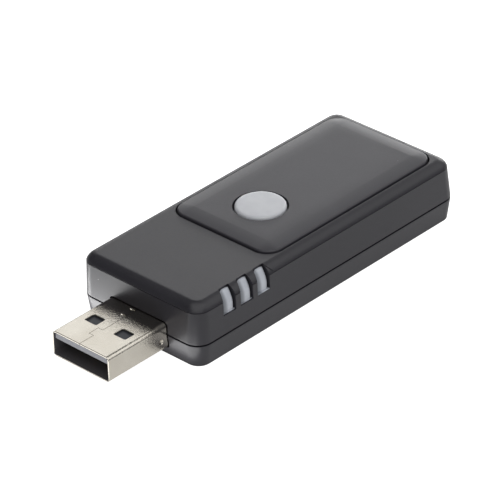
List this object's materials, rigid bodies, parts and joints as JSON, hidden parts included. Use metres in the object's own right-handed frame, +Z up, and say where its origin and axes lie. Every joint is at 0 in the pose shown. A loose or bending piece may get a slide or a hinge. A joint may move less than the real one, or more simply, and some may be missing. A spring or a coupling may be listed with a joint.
{
  "type": "usb microcontroller programmer",
  "caption": "Pocket programmer stick: a two-shell plastic case with an A-type plug, a lit push button in a raised cover panel, a row of side light windows and a target header.",
  "frame": {"origin": "on the underside, below the middle of the whole length, plug included", "axes": "+Z up through the button, +Y from the plug towards the target header, +X towards the light windows"},
  "size_m": [0.0252, 0.0722, 0.0121],
  "materials": {
    "housing_plastic": "fine satin texture, charcoal black",
    "panel_plastic": "fine satin texture, charcoal black",
    "milky_plastic": "milky, lets light through, satin",
    "nickel_plate": "bright nickel on pressed steel",
    "insulator_plastic": "moulded black",
    "gold_plate": "thin gold plate",
    "tin_plate": "satin tin or stainless sheet",
    "board_laminate": "green solder mask over glass laminate",
    "chip_epoxy": "moulded epoxy with tinned leads",
    "capacitor_ceramic": "fired ceramic with tinned ends",
    "led_lens": "clear lens over a pale base"
  },
  "bodies": {
    "case": {"upper_housing": "housing_plastic", "lower_housing": "housing_plastic", "cover_panel": "panel_plastic", "light_guide": "milky_plastic", "led_power": "led_lens", "led_busy": "led_lens", "led_error": "led_lens", "led_button": "led_lens", "usb_plug_shell": "nickel_plate", "usb_plug_insulator": "insulator_plastic", "usb_contact_vbus": "gold_plate", "usb_contact_d_minus": "gold_plate", "usb_contact_d_plus": "gold_plate", "usb_contact_gnd": "gold_plate", "target_header_body": "insulator_plastic", "target_header_pin_1": "gold_plate", "target_header_pin_2": "gold_plate", "target_header_pin_3": "gold_plate", "target_header_pin_4": "gold_plate", "target_header_pin_5": "gold_plate", "target_header_pin_6": "gold_plate", "target_header_pin_7": "gold_plate", "target_header_pin_8": "gold_plate", "target_header_pin_9": "gold_plate", "target_header_pin_10": "gold_plate", "circuit_board": "board_laminate", "microcontroller": "chip_epoxy", "level_shifter": "chip_epoxy", "voltage_regulator": "chip_epoxy", "usb_surge_array": "chip_epoxy", "crystal": "tin_plate", "usb_fuse": "capacitor_ceramic", "capacitor_1": "capacitor_ceramic", "capacitor_2": "capacitor_ceramic", "capacitor_3": "capacitor_ceramic", "capacitor_4": "capacitor_ceramic", "capacitor_5": "capacitor_ceramic", "resistor_1": "chip_epoxy", "resistor_2": "chip_epoxy", "resistor_3": "chip_epoxy", "resistor_4": "chip_epoxy", "switch_base": "chip_epoxy", "switch_plate": "tin_plate", "switch_dome": "tin_plate"},
    "button": {"button_cap": "milky_plastic"},
    "plunger": {"switch_plunger": "chip_epoxy"}
  },
  "joints": [
    {"name": "button_press", "type": "slide", "parent": "case", "child": "button", "axis": [0, 0, -1], "range_m": [0, 0.0003], "stiffness_N_per_m": 5000},
    {"name": "plunger_press", "type": "slide", "parent": "case", "child": "plunger", "axis": [0, 0, -1], "range_m": [0, 0.0003], "stiffness_N_per_m": 50, "deforming": ["switch_dome"]}
  ],
  "couplings": [
    {"joint": "plunger_press", "follows": "button_press", "ratio": 1}
  ]
}
